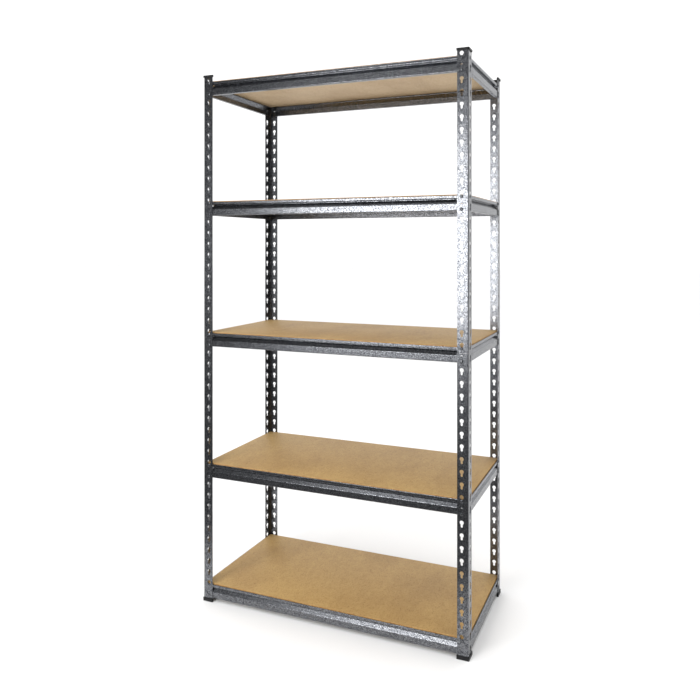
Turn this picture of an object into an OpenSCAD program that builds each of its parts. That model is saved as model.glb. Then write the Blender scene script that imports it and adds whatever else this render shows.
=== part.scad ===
/* [Frame] */
// Width over the outer faces of the posts
frame_w = 940; // [700:1:1200]
// Depth over the outer faces of the posts
frame_d = 420; // [300:1:600]

/* [Posts] */
// Length of one half post, a whole number of keyhole pitches
half_post_len = 900; // [900:37.5:1050]
// Width of each flange of the post angle
flange_w = 35; // [33:0.5:45]
// Sheet thickness of the posts
post_t = 1.4; // [1:0.1:2]
// Inside radius of the post's bend
post_bend_r = 1.2; // [0.5:0.1:2]
// Space left between the two halves of a post
seam_gap = 0.6; // [0:0.1:2]

/* [Keyholes] */
// Distance from one keyhole to the next
pitch = 37.5; // [37:0.5:40]
// Distance from the top of a half post to the first keyhole's round head
first_keyhole = 12.5; // [11:0.5:14]
// Distance from the post's corner to the row of keyholes
keyhole_inset = 21; // [20:0.5:23]
// Diameter of the keyhole's round head
keyhole_d = 12.5; // [12:0.5:13]
// Width of the keyhole's slot
slot_w = 6.5; // [6:0.1:7]
// Drop from the round head's centre to the centre of the slot's end
slot_drop = 11.5; // [11:0.5:13]

/* [Beams] */
// Height of a beam
beam_h = 46; // [44:1:50]
// Sheet thickness of the beams
beam_t = 1.2; // [1:0.1:1.5]
// Height of the upright lip above the ledge
lip_h = 8.3; // [8:0.1:10]
// Depth of the ledge that carries the board, to the outside of the web
ledge_depth = 11.6; // [11:0.1:12]
// Height at which the web starts to slope outwards, below the beam's top
web_bottom = 12; // [11.5:0.5:14]
// Height at which the slope reaches the lower band, below the beam's top
slope_bottom = 25.5; // [24:0.5:28]
// Depth of the flange along the bottom of the beam
bottom_flange = 12; // [8:0.5:12]
// Distance from the post's corner to the end of a beam
beam_inset = 14.5; // [14:0.5:15]
// Gap between a beam and the post flange in front of it
beam_gap = 0.1; // [0.1:0.05:0.3]

/* [Boards] */
// Thickness of a board
board_t = 11; // [9:0.5:16]
// Distance from the post's outer face to the board's edge
board_inset = 6.5; // [6.5:0.5:9]
// Cut across each corner of a board
board_corner = 5; // [4.5:0.5:8]

/* [Rivets] */
// Diameter of the rivet's shank
shank_d = 5.5; // [5:0.1:5.8]
// Diameter of the rivet's head
head_d = 10; // [9:0.5:11]
// Height of the rivet's head
head_h = 2.2; // [1.5:0.1:2.4]
// Diameter of the flattened tail inside the beam
tail_d = 8; // [7:0.5:8]
// Thickness of the flattened tail
tail_h = 1; // [0.8:0.1:1.2]
// Distance from the beam's top to its upper rivet
rivet_margin = 4.25; // [4:0.25:4.5]

/* [Caps and feet] */
// How far a cap or foot stands out past the post's faces
cap_wall = 2.5; // [2.4:0.1:3]
// How far a cap or foot runs past the free edges of the flanges
cap_over = 2; // [1:0.5:3]
// Thickness of plastic over the end of a post, on a cap
cap_top = 2.5; // [2:0.5:4]
// How far a cap's skirt reaches down the post
cap_skirt = 4; // [3:0.5:5]
// Thickness of plastic under a post, on a foot
foot_base = 4; // [3:0.5:5]
// How far a foot's wall reaches up the post
foot_wall = 6.5; // [5:0.5:7]
// Thickness of the wall inside the post's corner
plug_wall = 2.4; // [2:0.1:2.6]
// How far the gusset in the corner of a cap or foot reaches along each flange
gusset = 12; // [8:0.5:12]

/* [Hidden] */

paint = [0.36, 0.37, 0.38];
side_paint = [0.45, 0.46, 0.47];
board_tan = [0.74, 0.61, 0.44];
rivet_grey = [0.55, 0.56, 0.57];
plastic_black = [0.05, 0.05, 0.055];

fit_gap = 0.1;
arc_steps = 4;
round_fn = 32;
keyholes_per_half = floor(half_post_len / pitch);
rivet_pitch = pitch;
// The keyhole that holds the upper rivet of each shelf, counted from the top, bottom shelf first
shelf_keyhole = [keyholes_per_half * 2 - 1, keyholes_per_half + 12, keyholes_per_half, 12, 1];

post_top = foot_base + 2 * half_post_len;
// The rivet's shank hangs at the bottom of the slot
rivet_drop = slot_drop + (slot_w - shank_d) / 2 - 0.05;
beam_face = post_t + beam_gap;
hem_t = 2 * beam_t + 0.2;
hem_drop = 7;
hem_bend_r = beam_t / 2 + 0.09;
sheet_bend_r = 1.6;
// The web stops this far from the post's corner, so that the webs of two beams stay clear of each other
web_end = flange_w + 3;

function shelf_top(n) =
    post_top - first_keyhole - (shelf_keyhole[n - 1] - 1) * pitch - rivet_drop + rivet_margin;

function unit(v) = v / norm(v);
function left_of(v) = [-v[1], v[0]];
function turned(v, a) = [v[0] * cos(a) - v[1] * sin(a), v[0] * sin(a) + v[1] * cos(a)];
function turn(u, v) = atan2(u[0] * v[1] - u[1] * v[0], u[0] * v[0] + u[1] * v[1]);

// Points along one side of a bent sheet; side is 1 for the left of the path and -1 for the right
function bend_side(path, radii, t, side, i) =
    let (u = unit(path[i] - path[i - 1]),
         v = unit(path[i + 1] - path[i]),
         a = turn(u, v),
         s = sign(a),
         r = radii[i],
         centre = path[i] - u * r * tan(abs(a) / 2) + left_of(u) * s * r)
    [for (k = [0 : arc_steps])
        let (n = turned(left_of(u), a * k / arc_steps))
        centre + n * (side * t / 2 - s * r)];

function sheet_side(path, radii, t, side) =
    let (last = len(path) - 1)
    concat(
        [path[0] + left_of(unit(path[1] - path[0])) * side * t / 2],
        [for (i = [1 : last - 1]) each bend_side(path, radii, t, side, i)],
        [path[last] + left_of(unit(path[last] - path[last - 1])) * side * t / 2]
    );

function reversed(list) = [for (i = [len(list) - 1 : -1 : 0]) list[i]];

// Cross-section of a bent sheet of thickness t along its middle line
module bent_sheet(path, radii, t) {
    polygon(concat(sheet_side(path, radii, t, 1), reversed(sheet_side(path, radii, t, -1))));
}

// Puts a corner piece, drawn at the front left, on the corner given by signs
module at_corner(sx, sy) {
    translate([sx * frame_w / 2, sy * frame_d / 2, 0])
        mirror([sx > 0 ? 1 : 0, 0, 0])
            mirror([0, sy > 0 ? 1 : 0, 0])
                children();
}

// One keyhole, with its round head at the origin and its slot below
module keyhole() {
    circle(d = keyhole_d, $fn = round_fn);
    translate([-slot_w / 2, -slot_drop]) square([slot_w, slot_drop]);
    translate([0, -slot_drop]) circle(d = slot_w, $fn = round_fn);
}

module keyhole_row() {
    linear_extrude(height = 4 * post_t)
        for (k = [0 : keyholes_per_half - 1])
            translate([keyhole_inset, -first_keyhole - k * pitch]) keyhole();
}

// Half a post, drawn at the front left with its outer corner on the Z axis and its top at z = 0
module post_half() {
    m = post_t / 2;
    path = [[flange_w, m], [m, m], [m, flange_w]];
    difference() {
        translate([0, 0, seam_gap - half_post_len])
            linear_extrude(height = half_post_len - seam_gap)
                bent_sheet(path, [0, post_bend_r + m, 0], post_t);
        translate([0, 2 * post_t, 0]) rotate([90, 0, 0]) keyhole_row();
        mirror([1, -1, 0]) translate([0, 2 * post_t, 0]) rotate([90, 0, 0]) keyhole_row();
    }
}

module upper_post(sx, sy) {
    color(paint) at_corner(sx, sy) translate([0, 0, post_top]) post_half();
}

module lower_post(sx, sy) {
    color(paint) at_corner(sx, sy) translate([0, 0, foot_base + half_post_len]) post_half();
}

// Middle line of a beam's sheet: x is the depth behind the outer face, y the height from the top
function beam_path() =
    let (m = beam_t / 2)
    [[hem_t - m, -hem_drop],
     [hem_t - m, -m],
     [m, -m],
     [m, -lip_h - m],
     [ledge_depth - m, -lip_h - m],
     [ledge_depth - m, -web_bottom],
     [m, -slope_bottom],
     [m, m - beam_h],
     [bottom_flange, m - beam_h]];

function beam_radii() = [0, hem_bend_r, hem_bend_r, for (i = [1 : 5]) sheet_bend_r, 0];

// Wedge that cuts the web and slope back at 45 degrees at the left end of a beam, under the ledge
module end_mitre() {
    end_x = beam_inset - 1;
    depth = ledge_depth + 1;
    translate([0, 0, -slope_bottom])
        linear_extrude(height = slope_bottom - lip_h - beam_t)
            polygon([[end_x, -1], [web_end - ledge_depth - 1, -1], [web_end + 1, depth], [end_x, depth]]);
}

// Wedge that cuts the bottom flange back at 45 degrees, clear of the lower rivet's tail
module flange_mitre() {
    end_x = beam_inset - 1;
    clear_x = keyhole_inset + tail_d / 2 + 1;
    depth = bottom_flange + 1;
    translate([0, 0, -beam_h - 1])
        linear_extrude(height = 1 + beam_t + sheet_bend_r)
            polygon([[end_x, beam_t], [clear_x, beam_t],
                     [clear_x + depth - beam_t, depth], [end_x, depth]]);
}

module rivet_holes(len) {
    for (x = [keyhole_inset, len - keyhole_inset])
        for (z = [-rivet_margin, -rivet_margin - rivet_pitch])
            translate([x, -1, z]) rotate([-90, 0, 0])
                cylinder(h = 2 * hem_t, d = shank_d + fit_gap, $fn = round_fn);
}

// A beam along +X between two posts whose corners are len apart, its outer face on y = 0, its top on z = 0
module beam(len) {
    difference() {
        translate([beam_inset, 0, 0]) rotate([90, 0, 90])
            linear_extrude(height = len - 2 * beam_inset)
                bent_sheet(beam_path(), beam_radii(), beam_t);
        for (side = [0, 1])
            translate([side * len, 0, 0]) mirror([side, 0, 0]) {
                end_mitre();
                flange_mitre();
            }
        rivet_holes(len);
    }
}

module long_beam(shelf, sy) {
    color(paint)
        mirror([0, sy > 0 ? 1 : 0, 0])
            translate([-frame_w / 2, beam_face - frame_d / 2, shelf_top(shelf)])
                beam(frame_w);
}

module side_beam(shelf, sx) {
    color(side_paint)
        mirror([sx > 0 ? 1 : 0, 0, 0])
            translate([beam_face - frame_w / 2, frame_d / 2, shelf_top(shelf)])
                rotate([0, 0, -90])
                    beam(frame_d);
}

// A rivet along +Y: a domed head before the post, a shank, and a flat tail behind a sheet grip thick
module rivet(grip) {
    head_back = -fit_gap - post_t - beam_gap;
    dome = [for (a = [0 : 18 : 90])
        [head_d / 2 * cos(a) * 0.55 + head_d / 2 * 0.45 * (1 - a / 90), head_h * (0.25 + 0.75 * sin(a))]];
    translate([0, head_back, 0]) rotate([90, 0, 0])
        rotate_extrude($fn = round_fn) polygon(concat([[0, 0], [head_d / 2, 0]], dome));
    translate([0, head_back, 0]) rotate([-90, 0, 0])
        cylinder(h = grip - head_back, d = shank_d, $fn = round_fn);
    translate([0, grip, 0]) rotate([-90, 0, 0])
        cylinder(h = tail_h, d1 = tail_d, d2 = tail_d - tail_h, $fn = round_fn);
}

// The four rivets of a beam; the upper ones also pass through the hem
module beam_rivets(len) {
    for (x = [keyhole_inset, len - keyhole_inset]) {
        translate([x, 0, -rivet_margin]) rivet(hem_t);
        translate([x, 0, -rivet_margin - rivet_pitch]) rivet(beam_t);
    }
}

module long_rivets(shelf) {
    color(rivet_grey)
        for (sy = [-1, 1])
            mirror([0, sy > 0 ? 1 : 0, 0])
                translate([-frame_w / 2, beam_face - frame_d / 2, shelf_top(shelf)])
                    beam_rivets(frame_w);
}

module side_rivets(shelf) {
    color(rivet_grey)
        for (sx = [-1, 1])
            mirror([sx > 0 ? 1 : 0, 0, 0])
                translate([beam_face - frame_w / 2, frame_d / 2, shelf_top(shelf)])
                    rotate([0, 0, -90])
                        beam_rivets(frame_d);
}

// A loose board on the four ledges of a shelf
module board(shelf) {
    x = frame_w / 2 - board_inset;
    y = frame_d / 2 - board_inset;
    c = board_corner;
    color(board_tan)
        translate([0, 0, shelf_top(shelf) - lip_h + 0.02])
            linear_extrude(height = board_t)
                polygon([[c - x, -y], [x - c, -y], [x, c - y], [x, y - c],
                         [x - c, y], [c - x, y], [-x, y - c], [-x, c - y]]);
}

// Outline of a cap or foot: an angle round both flanges, with a gusset across its inner corner
module end_outline() {
    tip = flange_w + cap_over;
    w = post_t + plug_wall;
    polygon([[-cap_wall, -cap_wall], [tip, -cap_wall], [tip, w], [gusset, w],
             [w, gusset], [w, tip], [-cap_wall, tip]]);
}

// The slot in a cap or foot that the end of the post sits in
module post_slot() {
    m = post_t / 2;
    end = flange_w + fit_gap;
    bent_sheet([[end, m], [m, m], [m, end]], [0, post_bend_r + m, 0], post_t + 2 * fit_gap);
}

module cap(sx, sy) {
    color(plastic_black) at_corner(sx, sy)
        difference() {
            translate([0, 0, post_top - cap_skirt])
                linear_extrude(height = cap_skirt + cap_top) end_outline();
            translate([0, 0, post_top - 2 * cap_skirt])
                linear_extrude(height = 2 * cap_skirt) post_slot();
        }
}

module foot(sx, sy) {
    color(plastic_black) at_corner(sx, sy)
        difference() {
            linear_extrude(height = foot_base + foot_wall) end_outline();
            translate([0, 0, foot_base]) linear_extrude(height = 2 * foot_wall) post_slot();
        }
}

module front_left_upper_post() { upper_post(-1, -1); }
module front_right_upper_post() { upper_post(1, -1); }
module rear_left_upper_post() { upper_post(-1, 1); }
module rear_right_upper_post() { upper_post(1, 1); }
module front_left_lower_post() { lower_post(-1, -1); }
module front_right_lower_post() { lower_post(1, -1); }
module rear_left_lower_post() { lower_post(-1, 1); }
module rear_right_lower_post() { lower_post(1, 1); }

module front_left_cap() { cap(-1, -1); }
module front_right_cap() { cap(1, -1); }
module rear_left_cap() { cap(-1, 1); }
module rear_right_cap() { cap(1, 1); }
module front_left_foot() { foot(-1, -1); }
module front_right_foot() { foot(1, -1); }
module rear_left_foot() { foot(-1, 1); }
module rear_right_foot() { foot(1, 1); }

module shelf_1_front_beam() { long_beam(1, -1); }
module shelf_1_rear_beam() { long_beam(1, 1); }
module shelf_1_left_beam() { side_beam(1, -1); }
module shelf_1_right_beam() { side_beam(1, 1); }
module shelf_1_long_beam_rivets() { long_rivets(1); }
module shelf_1_side_beam_rivets() { side_rivets(1); }
module shelf_1_board() { board(1); }

module shelf_2_front_beam() { long_beam(2, -1); }
module shelf_2_rear_beam() { long_beam(2, 1); }
module shelf_2_left_beam() { side_beam(2, -1); }
module shelf_2_right_beam() { side_beam(2, 1); }
module shelf_2_long_beam_rivets() { long_rivets(2); }
module shelf_2_side_beam_rivets() { side_rivets(2); }
module shelf_2_board() { board(2); }

module shelf_3_front_beam() { long_beam(3, -1); }
module shelf_3_rear_beam() { long_beam(3, 1); }
module shelf_3_left_beam() { side_beam(3, -1); }
module shelf_3_right_beam() { side_beam(3, 1); }
module shelf_3_long_beam_rivets() { long_rivets(3); }
module shelf_3_side_beam_rivets() { side_rivets(3); }
module shelf_3_board() { board(3); }

module shelf_4_front_beam() { long_beam(4, -1); }
module shelf_4_rear_beam() { long_beam(4, 1); }
module shelf_4_left_beam() { side_beam(4, -1); }
module shelf_4_right_beam() { side_beam(4, 1); }
module shelf_4_long_beam_rivets() { long_rivets(4); }
module shelf_4_side_beam_rivets() { side_rivets(4); }
module shelf_4_board() { board(4); }

module shelf_5_front_beam() { long_beam(5, -1); }
module shelf_5_rear_beam() { long_beam(5, 1); }
module shelf_5_left_beam() { side_beam(5, -1); }
module shelf_5_right_beam() { side_beam(5, 1); }
module shelf_5_long_beam_rivets() { long_rivets(5); }
module shelf_5_side_beam_rivets() { side_rivets(5); }
module shelf_5_board() { board(5); }

front_left_upper_post();
front_right_upper_post();
rear_left_upper_post();
rear_right_upper_post();
front_left_lower_post();
front_right_lower_post();
rear_left_lower_post();
rear_right_lower_post();
front_left_cap();
front_right_cap();
rear_left_cap();
rear_right_cap();
front_left_foot();
front_right_foot();
rear_left_foot();
rear_right_foot();
shelf_1_front_beam();
shelf_1_rear_beam();
shelf_1_left_beam();
shelf_1_right_beam();
shelf_1_long_beam_rivets();
shelf_1_side_beam_rivets();
shelf_1_board();
shelf_2_front_beam();
shelf_2_rear_beam();
shelf_2_left_beam();
shelf_2_right_beam();
shelf_2_long_beam_rivets();
shelf_2_side_beam_rivets();
shelf_2_board();
shelf_3_front_beam();
shelf_3_rear_beam();
shelf_3_left_beam();
shelf_3_right_beam();
shelf_3_long_beam_rivets();
shelf_3_side_beam_rivets();
shelf_3_board();
shelf_4_front_beam();
shelf_4_rear_beam();
shelf_4_left_beam();
shelf_4_right_beam();
shelf_4_long_beam_rivets();
shelf_4_side_beam_rivets();
shelf_4_board();
shelf_5_front_beam();
shelf_5_rear_beam();
shelf_5_left_beam();
shelf_5_right_beam();
shelf_5_long_beam_rivets();
shelf_5_side_beam_rivets();
shelf_5_board();
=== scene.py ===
"""Finish for a five-shelf boltless rack: hammered grey paint, sawn boards, black plastic ends."""

import math

import bpy
from bpy.props import FloatProperty, FloatVectorProperty, PointerProperty
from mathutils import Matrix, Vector


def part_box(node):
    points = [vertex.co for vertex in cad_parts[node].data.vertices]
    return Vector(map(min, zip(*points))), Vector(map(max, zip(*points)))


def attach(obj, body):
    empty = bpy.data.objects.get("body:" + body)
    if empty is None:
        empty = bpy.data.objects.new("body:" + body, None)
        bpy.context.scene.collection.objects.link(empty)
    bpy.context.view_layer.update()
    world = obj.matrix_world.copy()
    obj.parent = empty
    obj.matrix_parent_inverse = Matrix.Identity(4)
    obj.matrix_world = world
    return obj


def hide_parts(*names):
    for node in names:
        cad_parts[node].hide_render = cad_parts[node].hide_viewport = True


bl_info = {
    "name": "Boltless Shelving Finish",
    "version": (1, 0, 0),
    "blender": (4, 5, 0),
    "location": "3D View > Sidebar > Shelving",
    "description": "Paints the frame, makes the boards and plastic ends, and sets the studio",
    "category": "Object",
}

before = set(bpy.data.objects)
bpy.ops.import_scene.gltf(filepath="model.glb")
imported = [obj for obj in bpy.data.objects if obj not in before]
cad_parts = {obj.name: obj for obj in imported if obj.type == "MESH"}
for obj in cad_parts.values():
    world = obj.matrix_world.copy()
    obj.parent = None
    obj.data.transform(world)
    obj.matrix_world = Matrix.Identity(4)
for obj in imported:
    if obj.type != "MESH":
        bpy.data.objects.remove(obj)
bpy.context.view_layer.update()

SHELVES = range(1, 6)
CORNERS = {
    "front_left": (1, 1),
    "front_right": (-1, 1),
    "rear_left": (1, -1),
    "rear_right": (-1, -1),
}
POST_LOW, POST_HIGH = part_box("front_left_upper_post")
MM = 0.001
FACING = 0.9  # least part of a normal along an axis for a face to count as facing that way
SMOOTH_ANGLE = math.radians(35)
SLOT_GAP = 0.1 * MM  # room round the sheet of a post in the slot of its cap or foot
SLOT_CORNER = 2.6 * MM
SLOT_RUN_OUT = 1 * MM  # how far the slot's cutter runs past the open end of a cap or foot
COAT_ROUGHNESS = 0.12
PLASTIC_GRAIN = 0.05 * MM
SENSOR_WIDTH = 36  # the camera counts it in millimetres


# ---------------------------------------------------------------- settings


def colour_property(name, description, default):
    return FloatVectorProperty(
        name=name, description=description, default=default, size=3, min=0, max=1, subtype="COLOR"
    )


def length_property(name, description, default):
    return FloatProperty(name=name, description=description, default=default, min=0, unit="LENGTH")


def share_property(name, description, default):
    return FloatProperty(
        name=name, description=description, default=default, min=0, max=1, subtype="FACTOR"
    )


def power_property(name, description, default):
    return FloatProperty(name=name, description=description, default=default, min=0, unit="POWER")


class PaintSettings(bpy.types.PropertyGroup):
    """Hammered grey paint of the posts, beams and rivets"""

    light: colour_property("Pigment", "Colour inside the paint's cells", (0.42, 0.43, 0.455))
    dark: colour_property("Rim", "Colour where the cells meet", (0.040, 0.043, 0.050))
    cell: length_property("Cell", "Size of one hammered cell", 2.0 * MM)
    depth: length_property("Depth", "Height of the rims over the cells", 0.012 * MM)
    metallic: share_property("Metallic", "How metallic the pigment is", 0.96)
    coat: share_property("Coat", "Weight of the clear coat", 0.08)


class BoardSettings(bpy.types.PropertyGroup):
    """Loose boards with a fine pressed face and sawn edges"""

    face: colour_property("Face", "Main colour of the board's face", (0.388, 0.238, 0.083))
    pale: colour_property("Pale chips", "Colour of the palest chips", (0.50, 0.338, 0.130))
    fleck: colour_property("Dark flecks", "Colour of the sparse dark flecks", (0.17, 0.075, 0.018))
    # Painted light: the underside colours are paler than the face, standing in for the brighter
    # light the underside shows from below.
    painted_light_under: colour_property("Underside", "Main colour of the raw underside", (0.50, 0.375, 0.225))
    painted_light_under_pale: colour_property("Pale underside", "Its palest chips", (0.60, 0.475, 0.315))
    edge: colour_property("Edge", "Main colour of the sawn edges", (0.34, 0.16, 0.045))
    corner: length_property("Corner", "Cut across each corner, along each side", 5 * MM)
    arris: length_property("Arris", "Rounding along the sawn edges", 0.5 * MM)


class PlasticSettings(bpy.types.PropertyGroup):
    """Moulded plastic of the caps and feet"""

    colour: colour_property("Colour", "Colour of the plastic", (0.006, 0.006, 0.0065))
    wall: length_property("Wall", "Width of each leg, across the post's flange", 6.3 * MM)
    gusset: length_property("Gusset", "How far the gusset cuts across the inner corner", 8.2 * MM)
    corner: length_property("Corner", "Rounding of the outer upright corner", 3.2 * MM)
    tip: length_property("Tip", "Rounding at the ends of the legs", 1.6 * MM)
    edge: length_property("Edge", "Rounding of the moulded edges", 0.6 * MM)
    sheet: length_property("Sheet", "Thickness of the post's sheet, with its clearance", 1.6 * MM)


class StageSettings(bpy.types.PropertyGroup):
    """Floor, lights and camera"""

    floor: colour_property("Floor", "Colour of the floor", (0.90, 0.90, 0.90))
    focal: FloatProperty(
        name="Focal length", description="Lens, on a 36 mm sensor", default=34.37, unit="CAMERA"
    )
    yaw: FloatProperty(
        name="Yaw",
        description="Turn of the camera from straight at the front",
        default=math.radians(21.09),
        subtype="ANGLE",
    )
    place: FloatVectorProperty(
        name="Place",
        description="Where the camera stands",
        default=(0.989, -2.116, 1.226),
        size=3,
        subtype="XYZ",
        unit="LENGTH",
    )
    shift: FloatVectorProperty(
        name="Shift", description="Shift of the lens", default=(-0.0714, -0.151), size=2
    )
    key: power_property("Key", "Power of the front light", 60)
    fill: power_property("Fill", "Power of the high front light", 70)
    top: power_property("Top", "Power of the top light", 14)
    sky: FloatProperty(name="Sky", description="Brightness of the studio walls", default=1.16)


# ---------------------------------------------------------------- shader helpers


def add_node(tree, kind, x, y, **values):
    """A new shader node at a place in the node editor; a value goes to the input of that name."""
    made = tree.nodes.new("ShaderNode" + kind)
    made.location = (x, y)
    for name, value in values.items():
        made.inputs[name.replace("_", " ")].default_value = value
    return made


def join(tree, source, target):
    tree.links.new(source, target)


def feed(tree, socket, value):
    """Links an output to a socket, or sets a plain value on it."""
    if isinstance(value, bpy.types.NodeSocket):
        tree.links.new(value, socket)
    else:
        socket.default_value = value


def math_node(tree, operation, x, y, *values, clamp=False):
    made = tree.nodes.new("ShaderNodeMath")
    made.location = (x, y)
    made.operation = operation
    made.use_clamp = clamp
    for socket, value in zip(made.inputs, values):
        feed(tree, socket, value)
    return made.outputs[0]


def vector_node(tree, operation, x, y, a, b=None, scale=None):
    made = tree.nodes.new("ShaderNodeVectorMath")
    made.location = (x, y)
    made.operation = operation
    feed(tree, made.inputs[0], a)
    if b is not None:
        feed(tree, made.inputs[1], b)
    if scale is not None:
        feed(tree, made.inputs["Scale"], scale)
    return made.outputs[0]


def mix_colours(tree, x, y, share, a, b):
    made = tree.nodes.new("ShaderNodeMix")
    made.location = (x, y)
    made.data_type = "RGBA"
    made.clamp_factor = True
    feed(tree, made.inputs[0], share)
    feed(tree, made.inputs[6], a)
    feed(tree, made.inputs[7], b)
    return made.outputs[2]


def ramp(tree, x, y, value, low, high, to_low=0.0, to_high=1.0):
    """An eased step from to_low to to_high while the value goes from low to high."""
    made = tree.nodes.new("ShaderNodeMapRange")
    made.location = (x, y)
    made.interpolation_type = "SMOOTHSTEP"
    for socket, given in zip(made.inputs, (value, low, high, to_low, to_high)):
        feed(tree, socket, given)
    return made.outputs[0]


def noise(tree, x, y, vector, scale, detail=2.0, roughness=0.5):
    made = add_node(tree, "TexNoise", x, y, Scale=scale, Detail=detail, Roughness=roughness)
    join(tree, vector, made.inputs["Vector"])
    return made.outputs["Fac"]


def cells_node(tree, x, y, vector, smoothness=None):
    """Voronoi cells one unit apart, their borders smoothed if a smoothness is given."""
    made = add_node(tree, "TexVoronoi", x, y, Scale=1.0)
    if smoothness is not None:
        made.feature = "SMOOTH_F1"
        made.inputs["Smoothness"].default_value = smoothness
    join(tree, vector, made.inputs["Vector"])
    return made.outputs


def rgba(colour):
    return (*colour, 1.0)


def new_group(name, inputs, outputs):
    """A shader node group; inputs are (name, type, default), outputs are (name, type)."""
    group = bpy.data.node_groups.new(name, "ShaderNodeTree")
    sockets = group.interface
    for socket_name, kind, default in inputs:
        made = sockets.new_socket(socket_name, in_out="INPUT", socket_type="NodeSocket" + kind)
        if default is not None:
            made.default_value = default
    for socket_name, kind in outputs:
        sockets.new_socket(socket_name, in_out="OUTPUT", socket_type="NodeSocket" + kind)
    given = group.nodes.new("NodeGroupInput").outputs
    result = group.nodes.new("NodeGroupOutput").inputs
    return group, given, result


def use_group(tree, group, x, y, **values):
    made = tree.nodes.new("ShaderNodeGroup")
    made.node_tree = group
    made.location = (x, y)
    for name, value in values.items():
        feed(tree, made.inputs[name.replace("_", " ")], value)
    return made.outputs


def new_material(name):
    """A material with a plain Principled BSDF: the material, its tree and the shader."""
    made = bpy.data.materials.new(name)
    made.use_nodes = True
    return made, made.node_tree, made.node_tree.nodes["Principled BSDF"]


def place_of(tree):
    return add_node(tree, "TexCoord", -1400, 0).outputs["Object"]


def bump(tree, shader, height, distance):
    made = add_node(tree, "Bump", -300, -400, Strength=1.0, Distance=distance)
    join(tree, height, made.inputs["Height"])
    join(tree, made.outputs["Normal"], shader.inputs["Normal"])


# ---------------------------------------------------------------- shared effects


def hammered_group():
    """Rounded cells with dark raised rims, as hammered paint dries."""
    found = bpy.data.node_groups.get("Hammered Paint")
    if found:
        return found
    group, given, result = new_group(
        "Hammered Paint",
        [
            ("Vector", "Vector", None),
            ("Cell Size", "Float", 3 * MM),
            ("Pigment", "Color", (0.4, 0.4, 0.4, 1)),
            ("Rim", "Color", (0.1, 0.1, 0.1, 1)),
        ],
        [("Colour", "Color"), ("Roughness", "Float"), ("Height", "Float")],
    )
    per_metre = math_node(group, "DIVIDE", 0, 0, 1.0, given["Cell Size"])
    cells = vector_node(group, "SCALE", 150, 0, given["Vector"], scale=per_metre)
    warp_noise = add_node(group, "TexNoise", 300, -200, Scale=0.9, Detail=2.0)
    join(group, cells, warp_noise.inputs["Vector"])
    middle = (0.5, 0.5, 0.5)
    centred = vector_node(group, "SUBTRACT", 450, -200, warp_noise.outputs["Color"], middle)
    warp = vector_node(group, "SCALE", 600, -200, centred, scale=1.1)
    warped = vector_node(group, "ADD", 750, 0, cells, warp)

    rings = cells_node(group, 900, 0, warped, smoothness=0.3)
    rim = ramp(group, 1050, 0, rings["Distance"], 0.20, 0.68)
    grey = add_node(group, "SeparateColor", 1050, -350)
    join(group, cells_node(group, 900, -350, warped)["Color"], grey.inputs[0])
    drift = noise(group, 900, -650, cells, scale=0.12, detail=3.0)

    cell_shade = math_node(group, "MULTIPLY", 1200, -350, grey.outputs[0], 0.42)
    drift_shade = math_node(group, "MULTIPLY_ADD", 1200, -600, drift, 0.10, -0.01)
    share = math_node(group, "MULTIPLY", 1200, 0, rim, 0.70)
    share = math_node(group, "ADD", 1350, 0, share, cell_shade)
    share = math_node(group, "ADD", 1500, 0, share, drift_shade, clamp=True)
    colour = mix_colours(group, 1650, 100, share, given["Pigment"], given["Rim"])
    join(group, colour, result["Colour"])
    gloss = ramp(group, 1650, -100, rim, 0.0, 1.0, to_low=0.23, to_high=0.29)
    join(group, gloss, result["Roughness"])
    join(group, rim, result["Height"])
    return group


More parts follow.
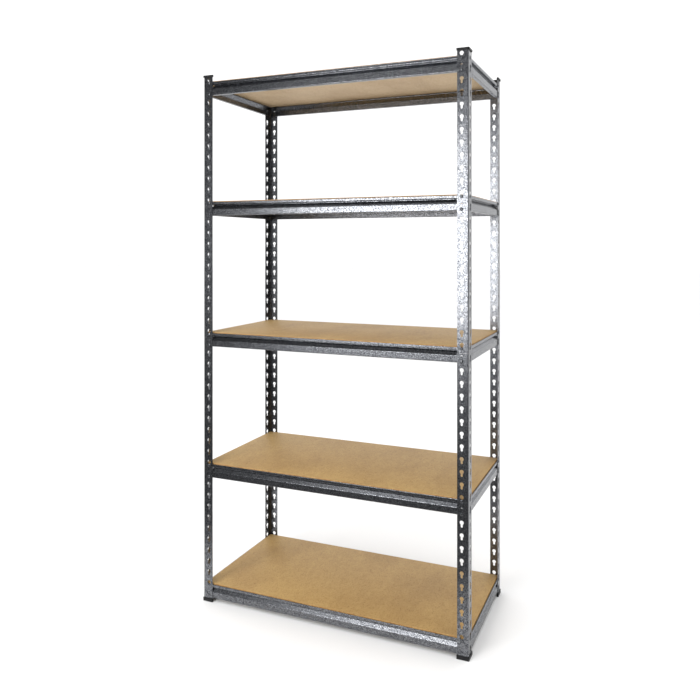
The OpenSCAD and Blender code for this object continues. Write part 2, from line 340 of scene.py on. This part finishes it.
def chip_group():
    """Pressed wood: overlapping chips in slightly different shades, with sparse dark flecks."""
    found = bpy.data.node_groups.get("Pressed Chips")
    if found:
        return found
    group, given, result = new_group(
        "Pressed Chips",
        [
            ("Vector", "Vector", None),
            ("Chip Size", "Float", 2 * MM),
            ("Main", "Color", (0.5, 0.35, 0.17, 1)),
            ("Pale", "Color", (0.6, 0.45, 0.25, 1)),
            ("Fleck", "Color", (0.2, 0.1, 0.04, 1)),
            ("Fleck Share", "Float", 0.3),
        ],
        [("Colour", "Color"), ("Height", "Float")],
    )
    per_metre = math_node(group, "DIVIDE", 0, 0, 1.0, given["Chip Size"])
    grains = vector_node(group, "SCALE", 150, 0, given["Vector"], scale=per_metre)
    warp_noise = add_node(group, "TexNoise", 300, -200, Scale=0.6, Detail=3.0)
    join(group, grains, warp_noise.inputs["Vector"])
    warp = vector_node(group, "SCALE", 450, -200, warp_noise.outputs["Color"], scale=2.4)
    warped = vector_node(group, "ADD", 600, 0, grains, warp)
    shade = add_node(group, "SeparateColor", 900, 0)
    join(group, cells_node(group, 750, 0, warped)["Color"], shade.inputs[0])
    fibres = noise(group, 750, -300, grains, scale=2.2, detail=4.0, roughness=0.65)
    mottle = noise(group, 750, -500, grains, scale=0.16, detail=3.0, roughness=0.6)
    drift = noise(group, 750, -700, grains, scale=0.014, detail=3.0, roughness=0.55)

    pale = math_node(group, "MULTIPLY", 1050, 0, shade.outputs[0], 0.55)
    pale = math_node(group, "MULTIPLY_ADD", 1200, 0, fibres, 0.5, pale)
    pale = math_node(group, "MULTIPLY_ADD", 1350, 0, mottle, 1.1, pale)
    pale = math_node(group, "SUBTRACT", 1500, 0, pale, 0.72, clamp=True)
    body = mix_colours(group, 1650, 0, pale, given["Main"], given["Pale"])
    spots = ramp(group, 1050, -300, shade.outputs[1], 0.86, 0.98)
    specks = ramp(group, 1050, -500, fibres, 0.60, 0.74)
    dark = math_node(group, "MAXIMUM", 1200, -300, spots, specks)
    dark = math_node(group, "MULTIPLY", 1350, -300, dark, given["Fleck Share"])
    worn = ramp(group, 1050, -700, drift, 0.42, 0.70, to_high=0.22)
    dark = math_node(group, "ADD", 1500, -300, dark, worn, clamp=True)
    join(group, mix_colours(group, 1800, 0, dark, body, given["Fleck"]), result["Colour"])
    height = math_node(group, "MULTIPLY_ADD", 1500, -600, shade.outputs[2], 0.4, fibres)
    join(group, height, result["Height"])
    return group


# ---------------------------------------------------------------- materials


def hammered_paint(name, settings):
    made, tree, shader = new_material(name)
    paint = use_group(
        tree,
        hammered_group(),
        -900,
        0,
        Vector=place_of(tree),
        Cell_Size=settings.cell,
        Pigment=rgba(settings.light),
        Rim=rgba(settings.dark),
    )
    join(tree, paint["Colour"], shader.inputs["Base Color"])
    join(tree, paint["Roughness"], shader.inputs["Roughness"])
    shader.inputs["Metallic"].default_value = settings.metallic
    shader.inputs["Coat Weight"].default_value = settings.coat
    shader.inputs["Coat Roughness"].default_value = COAT_ROUGHNESS
    bump(tree, shader, paint["Height"], settings.depth)
    return made


def pressed_board(name, settings, main, pale, chip_size, fleck_share, grain, pattern):
    made, tree, shader = new_material(name)
    stretched = add_node(tree, "Mapping", -1150, 0, Rotation=pattern, Scale=(1.0, 0.6, 1.0))
    join(tree, place_of(tree), stretched.inputs["Vector"])
    chips = use_group(
        tree,
        chip_group(),
        -900,
        0,
        Vector=stretched.outputs[0],
        Chip_Size=chip_size,
        Main=rgba(main),
        Pale=rgba(pale),
        Fleck=rgba(settings.fleck),
        Fleck_Share=fleck_share,
    )
    join(tree, chips["Colour"], shader.inputs["Base Color"])
    dull = ramp(tree, -600, -200, chips["Height"], 0.2, 0.9, to_low=0.46, to_high=0.60)
    join(tree, dull, shader.inputs["Roughness"])
    shader.inputs["Specular IOR Level"].default_value = 0.42
    bump(tree, shader, chips["Height"], grain)
    return made


def moulded_plastic(name, settings):
    made, tree, shader = new_material(name)
    place = place_of(tree)
    pores = noise(tree, -900, 0, place, scale=2600.0, detail=3.0)
    clouds = noise(tree, -900, -300, place, scale=90.0, detail=3.0)
    base = rgba(settings.colour)
    dusty = rgba([min(1.0, c * 2.2) for c in settings.colour])
    dust = ramp(tree, -750, -300, clouds, 0.35, 0.75)
    tint = mix_colours(tree, -600, 0, dust, base, dusty)
    join(tree, tint, shader.inputs["Base Color"])
    dull = ramp(tree, -600, -300, pores, 0.3, 0.7, to_low=0.38, to_high=0.55)
    join(tree, dull, shader.inputs["Roughness"])
    shader.inputs["Specular IOR Level"].default_value = 0.25
    bump(tree, shader, pores, PLASTIC_GRAIN)
    return made


def finish_node(node_name, material):
    """Gives a node of the frame its finish and its slot."""
    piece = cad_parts[node_name]
    piece.data.materials.clear()
    piece.data.materials.append(material)


# ---------------------------------------------------------------- modelling helpers


def select_only(piece):
    bpy.ops.object.select_all(action="DESELECT")
    piece.select_set(True)
    bpy.context.view_layer.objects.active = piece


def block(name, low, high):
    """A box between two corners, its place in its mesh."""
    bpy.ops.object.select_all(action="DESELECT")
    low, high = Vector(low), Vector(high)
    bpy.ops.mesh.primitive_cube_add(size=1, location=(low + high) / 2)
    piece = bpy.context.active_object
    piece.scale = high - low
    bpy.ops.object.transform_apply(location=True, rotation=True, scale=True)
    piece.name = name
    piece.data.name = name
    return piece


def clear_picked(mesh):
    for part in (mesh.vertices, mesh.edges, mesh.polygons):
        part.foreach_set("select", [False] * len(part))


def pick_faces(piece, wanted):
    """Selects the faces for which wanted(centre, normal) is true, and enters edit mode."""
    select_only(piece)
    mesh = piece.data
    clear_picked(mesh)
    for face in mesh.polygons:
        face.select = wanted(face.center, face.normal)
    bpy.ops.object.mode_set(mode="EDIT")
    bpy.ops.mesh.select_mode(type="FACE")


def pick_edges(piece, wanted):
    """Selects the edges for which wanted(end, other_end) is true, and enters edit mode."""
    select_only(piece)
    mesh = piece.data
    clear_picked(mesh)
    bpy.ops.object.mode_set(mode="EDIT")
    bpy.ops.mesh.select_mode(type="EDGE")
    bpy.ops.object.mode_set(mode="OBJECT")
    for edge in mesh.edges:
        a, b = (mesh.vertices[i].co for i in edge.vertices)
        edge.select = wanted(a, b)
    bpy.ops.object.mode_set(mode="EDIT")


def leave_edit():
    bpy.ops.object.mode_set(mode="OBJECT")


def pull_faces(piece, wanted, offset):
    pick_faces(piece, wanted)
    bpy.ops.mesh.extrude_region_move(TRANSFORM_OT_translate={"value": offset})
    leave_edit()


def round_edges(piece, wanted, radius, segments):
    pick_edges(piece, wanted)
    bpy.ops.mesh.bevel(offset=radius, segments=segments, affect="EDGES")
    leave_edit()


def apply_modifier(piece, kind, **values):
    select_only(piece)
    made = piece.modifiers.new(kind.title(), kind)
    for name, value in values.items():
        setattr(made, name, value)
    bpy.ops.object.modifier_apply(modifier=made.name)


def near(value, target):
    return abs(value - target) < 0.01 * MM


def upright(a, b):
    return near(a.x, b.x) and near(a.y, b.y)


def level(a, b):
    return near(a.z, b.z)


def upright_at(x, y):
    """A test for the upright edge that stands at x, y."""
    return lambda a, b: upright(a, b) and near(a.x, x) and near(a.y, y)


def smooth(piece):
    select_only(piece)
    bpy.ops.object.shade_smooth_by_angle(angle=SMOOTH_ANGLE)


def corner_copy(piece, name, flip):
    """A copy of a front left piece, mirrored to the corner whose x and y signs are flip."""
    copy = piece.copy()
    copy.data = piece.data.copy()
    bpy.context.scene.collection.objects.link(copy)
    copy.name = name
    copy.data.name = name
    copy.scale = (*flip, 1)
    select_only(copy)
    bpy.ops.object.transform_apply(location=False, rotation=False, scale=True)
    bpy.ops.object.mode_set(mode="EDIT")
    bpy.ops.mesh.select_all(action="SELECT")
    bpy.ops.mesh.normals_make_consistent(inside=False)
    leave_edit()
    return copy


# ---------------------------------------------------------------- pieces


def make_board(shelf, settings, face, edge, painted_light_under):
    """A loose board: corners cut to clear the posts, eased arrises, an underside painted paler as
    painted light.
    """
    node = f"shelf_{shelf}_board"
    low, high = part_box(node)
    board = block(f"shelf_{shelf}_deck_board", low, high)
    round_edges(board, upright, settings.corner, segments=1)
    round_edges(board, level, settings.arris, segments=2)
    for material in (face, edge, painted_light_under):
        board.data.materials.append(material)
    for polygon in board.data.polygons:
        rise = polygon.normal.z
        # Down-facing faces take the underside material, which is painted paler as painted light.
        polygon.material_index = 0 if rise > FACING else 2 if rise < -FACING else 1
    smooth(board)
    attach(board, f"shelf_{shelf}_deck")
    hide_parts(node)


def angle_block(name, low, high, thickness):
    """An upright angle with its outer corner at low and its two tips level with high."""
    inner_x, inner_y = low.x + thickness, low.y + thickness
    angle = block(name, low, (inner_x, inner_y, high.z))
    pull_faces(angle, lambda centre, normal: normal.x > FACING, (high.x - inner_x, 0, 0))

    def leg_end(centre, normal):
        return normal.y > FACING and centre.x < inner_x

    pull_faces(angle, leg_end, (0, high.y - inner_y, 0))
    return angle


def make_end(name, low, high, settings, cut_low, cut_high):
    """A plastic end for the front left post, an angle with a slot that the post sits in."""
    end = angle_block(name, low, high, settings.wall)
    inner = upright_at(low.x + settings.wall, low.y + settings.wall)
    round_edges(end, inner, settings.gusset, segments=1)
    round_edges(end, upright_at(low.x, low.y), settings.corner, segments=5)

    def tips(a, b):
        return upright(a, b) and (near(a.x, high.x) or near(a.y, high.y))

    round_edges(end, tips, settings.tip, segments=3)
    apply_modifier(end, "BEVEL", width=settings.edge, segments=3, limit_method="ANGLE")
    cutter = make_sheet_angle(cut_low, cut_high, settings)
    apply_modifier(end, "BOOLEAN", operation="DIFFERENCE", object=cutter, solver="EXACT")
    bpy.data.objects.remove(cutter)
    smooth(end)
    return end


def make_sheet_angle(z_low, z_high, settings):
    """The room that the end of a post takes, between two heights."""
    low = Vector((POST_LOW.x - SLOT_GAP, POST_LOW.y - SLOT_GAP, z_low))
    high = Vector((POST_HIGH.x + SLOT_GAP, POST_HIGH.y + SLOT_GAP, z_high))
    angle = angle_block("slot_cutter", low, high, settings.sheet)
    round_edges(angle, upright_at(low.x, low.y), SLOT_CORNER, segments=4)
    return angle


def place_ends(kind, suffix, settings, slot_low, slot_high):
    """Models one end at the front left and copies it to the four posts."""
    low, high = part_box(f"front_left_{kind}")
    master = make_end(f"front_left_{suffix}", low, high, settings, slot_low, slot_high)
    material = bpy.data.materials.get("Black plastic") or moulded_plastic("Black plastic", settings)
    master.data.materials.append(material)
    for corner, flip in CORNERS.items():
        piece = master
        if corner != "front_left":
            piece = corner_copy(master, f"{corner}_{suffix}", flip)
        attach(piece, "root")
        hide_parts(f"{corner}_{kind}")


# ---------------------------------------------------------------- operators


class SHELVING_OT_paint_posts(bpy.types.Operator):
    """Paint the eight half posts in hammered grey"""

    bl_idname = "shelving.paint_posts"
    bl_label = "Paint posts"

    def execute(self, context):
        paint = hammered_paint("Post paint", context.scene.shelving_paint)
        for corner in CORNERS:
            for half in ("upper", "lower"):
                finish_node(f"{corner}_{half}_post", paint)
        return {"FINISHED"}


class SHELVING_OT_paint_beams(bpy.types.Operator):
    """Paint the beams of the five shelves in hammered grey"""

    bl_idname = "shelving.paint_beams"
    bl_label = "Paint beams"

    def execute(self, context):
        paint = hammered_paint("Beam paint", context.scene.shelving_paint)
        for shelf in SHELVES:
            for side in ("front", "rear", "left", "right"):
                finish_node(f"shelf_{shelf}_{side}_beam", paint)
        return {"FINISHED"}


class SHELVING_OT_finish_rivets(bpy.types.Operator):
    """Finish the rivets that hang the beams in the keyholes"""

    bl_idname = "shelving.finish_rivets"
    bl_label = "Finish rivets"

    def execute(self, context):
        steel = hammered_paint("Rivet steel", context.scene.shelving_paint)
        for shelf in SHELVES:
            for group in ("long", "side"):
                finish_node(f"shelf_{shelf}_{group}_beam_rivets", steel)
        return {"FINISHED"}


class SHELVING_OT_make_boards(bpy.types.Operator):
    """Make the five loose boards"""

    bl_idname = "shelving.make_boards"
    bl_label = "Make boards"

    def execute(self, context):
        settings = context.scene.shelving_board
        face = pressed_board(
            "Board face",
            settings,
            main=settings.face,
            pale=settings.pale,
            chip_size=2.2 * MM,
            fleck_share=0.42,
            grain=0.05 * MM,
            pattern=(0, 0, 0),
        )
        edge = pressed_board(
            "Board edge",
            settings,
            main=settings.edge,
            pale=settings.pale,
            chip_size=2.6 * MM,
            fleck_share=0.55,
            grain=0.25 * MM,
            pattern=(0.3, 0.2, 0.1),
        )
        # Painted light: the same board, with paler colours for the underside to stand in for the
        # brighter light it shows from below.
        painted_light_under = pressed_board(
            "Board underside with painted light",
            settings,
            main=settings.painted_light_under,
            pale=settings.painted_light_under_pale,
            chip_size=2.2 * MM,
            fleck_share=0.3,
            grain=0.08 * MM,
            pattern=(0, 0, 0.5),
        )
        for shelf in SHELVES:
            make_board(shelf, settings, face, edge, painted_light_under)
        return {"FINISHED"}


class SHELVING_OT_make_caps(bpy.types.Operator):
    """Make the plastic caps on the tops of the posts"""

    bl_idname = "shelving.make_caps"
    bl_label = "Make caps"

    def execute(self, context):
        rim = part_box("front_left_cap")[0].z
        settings = context.scene.shelving_plastic
        place_ends("cap", "end_cap", settings, rim - SLOT_RUN_OUT, POST_HIGH.z)
        return {"FINISHED"}


class SHELVING_OT_make_feet(bpy.types.Operator):
    """Make the plastic feet under the posts"""

    bl_idname = "shelving.make_feet"
    bl_label = "Make feet"

    def execute(self, context):
        post_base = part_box("front_left_lower_post")[0].z
        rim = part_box("front_left_foot")[1].z
        settings = context.scene.shelving_plastic
        place_ends("foot", "foot_pad", settings, post_base, rim + SLOT_RUN_OUT)
        return {"FINISHED"}


class SHELVING_OT_set_stage(bpy.types.Operator):
    """Set the floor, the lights and the camera"""

    bl_idname = "shelving.set_stage"
    bl_label = "Set stage"

    def execute(self, context):
        settings = context.scene.shelving_stage
        make_floor(settings)
        make_walls(context.scene, settings)
        soft_light(
            "Front softbox",
            place=(-0.9, -3.2, 1.3),
            aim=(0.1, 0, 1.3),
            size=(1.65, 1.45),
            power=settings.key,
        )
        soft_light(
            "High softbox",
            place=(-2.1, -5.5, 5.6),
            aim=(0.2, -0.2, 0),
            size=(2.2, 0.9),
            power=settings.fill,
        )
        soft_light(
            "Top softbox",
            place=(0, 0.1, 3.4),
            aim=(0, 0.1, 0),
            size=(2.4, 1.8),
            power=settings.top,
        )
        make_camera(context.scene, settings)
        context.scene.view_settings.view_transform = "Standard"
        return {"FINISHED"}


def make_floor(settings):
    """A wide pale floor; in mirrored light its near part is painted almost black, a painted dark
    reflection, as the walls are.
    """
    bpy.ops.object.select_all(action="DESELECT")
    bpy.ops.mesh.primitive_plane_add(size=60, location=(0, 0, 0))
    floor = bpy.context.active_object
    floor.name = "studio_floor"
    made, tree, shader = new_material("Studio floor")
    place = place_of(tree)
    parts = add_node(tree, "SeparateXYZ", -1200, -300)
    join(tree, place, parts.inputs[0])
    away = ramp(tree, -1000, -300, parts.outputs["Y"], -0.35, -0.75)
    shiny = add_node(tree, "LightPath", -1000, -600).outputs["Is Glossy Ray"]
    dark_reflection_share = math_node(tree, "MULTIPLY", -800, -300, away, shiny)
    cloud = noise(tree, -1000, 0, place, scale=1.5, detail=3.0)
    pale = rgba(settings.floor)
    duller = rgba([c * 0.99 for c in settings.floor])
    plain = mix_colours(tree, -800, 0, cloud, pale, duller)
    # Painted dark reflection: mirrored rays see the near floor in this almost black colour.
    painted_dark_reflection = rgba((0.02, 0.02, 0.02))
    join(tree, mix_colours(tree, -600, 0, dark_reflection_share, plain, painted_dark_reflection), shader.inputs["Base Color"])
    shader.inputs["Roughness"].default_value = 0.9
    floor.data.materials.append(made)


def make_walls(scene, settings):
    """A white studio; steel mirrors a dark near side and a bright far side."""
    world = bpy.data.worlds.new("Studio")
    world.use_nodes = True
    scene.world = world
    tree = world.node_tree
    background = tree.nodes["Background"]
    direction = add_node(tree, "TexCoord", -1100, 0).outputs["Generated"]
    parts = add_node(tree, "SeparateXYZ", -950, 0)
    join(tree, direction, parts.inputs[0])
    behind = ramp(tree, -800, 0, parts.outputs["Y"], -0.30, 0.45, to_low=0.03, to_high=1.12)
    beside = ramp(tree, -800, -300, parts.outputs["X"], 0.25, 0.85, to_high=0.66)
    mirrored = math_node(tree, "MAXIMUM", -650, 0, behind, beside)
    shiny = add_node(tree, "LightPath", -800, 300).outputs["Is Glossy Ray"]
    share = add_node(tree, "Mix", -500, 0)
    join(tree, shiny, share.inputs[0])
    share.inputs[2].default_value = settings.sky
    join(tree, mirrored, share.inputs[3])
    join(tree, share.outputs[0], background.inputs["Strength"])
    background.inputs["Color"].default_value = (1, 1, 1, 1)


def soft_light(name, place, aim, size, power):
    data = bpy.data.lights.new(name, "AREA")
    data.shape = "RECTANGLE"
    data.size, data.size_y = size
    data.energy = power
    lamp = bpy.data.objects.new(name, data)
    bpy.context.scene.collection.objects.link(lamp)
    lamp.location = place
    lamp.rotation_euler = (Vector(aim) - Vector(place)).to_track_quat("-Z", "Y").to_euler()
    lamp.visible_camera = False


def make_camera(scene, settings):
    data = bpy.data.cameras.new("Camera")
    data.sensor_width = SENSOR_WIDTH
    data.lens = settings.focal
    data.shift_x, data.shift_y = settings.shift
    camera = bpy.data.objects.new("Camera", data)
    scene.collection.objects.link(camera)
    camera.location = settings.place
    camera.rotation_euler = (math.radians(90), 0, settings.yaw)
    scene.camera = camera


class SHELVING_PT_finish(bpy.types.Panel):
    """Steps that finish the shelving"""

    bl_idname = "SHELVING_PT_finish"
    bl_label = "Shelving finish"
    bl_space_type = "VIEW_3D"
    bl_region_type = "UI"
    bl_category = "Shelving"

    def draw(self, context):
        for group, settings in SETTINGS.items():
            box = self.layout.box()
            box.label(text=settings.__doc__)
            for name in settings.__annotations__:
                box.prop(getattr(context.scene, group), name)
        for step in STEPS:
            self.layout.operator(step.bl_idname)


# ---------------------------------------------------------------- registration

SETTINGS = {
    "shelving_paint": PaintSettings,
    "shelving_board": BoardSettings,
    "shelving_plastic": PlasticSettings,
    "shelving_stage": StageSettings,
}
STEPS = (
    SHELVING_OT_paint_posts,
    SHELVING_OT_paint_beams,
    SHELVING_OT_finish_rivets,
    SHELVING_OT_make_boards,
    SHELVING_OT_make_caps,
    SHELVING_OT_make_feet,
    SHELVING_OT_set_stage,
)


def register():
    for made in (*SETTINGS.values(), *STEPS, SHELVING_PT_finish):
        bpy.utils.register_class(made)
    for name, settings in SETTINGS.items():
        setattr(bpy.types.Scene, name, PointerProperty(type=settings))


def unregister():
    for name in SETTINGS:
        delattr(bpy.types.Scene, name)
    for made in (SHELVING_PT_finish, *reversed(STEPS), *reversed(SETTINGS.values())):
        bpy.utils.unregister_class(made)


def main():
    register()
    for step in STEPS:
        family, name = step.bl_idname.split(".")
        getattr(getattr(bpy.ops, family), name)()
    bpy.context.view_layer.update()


if __name__ == "__main__":
    main()
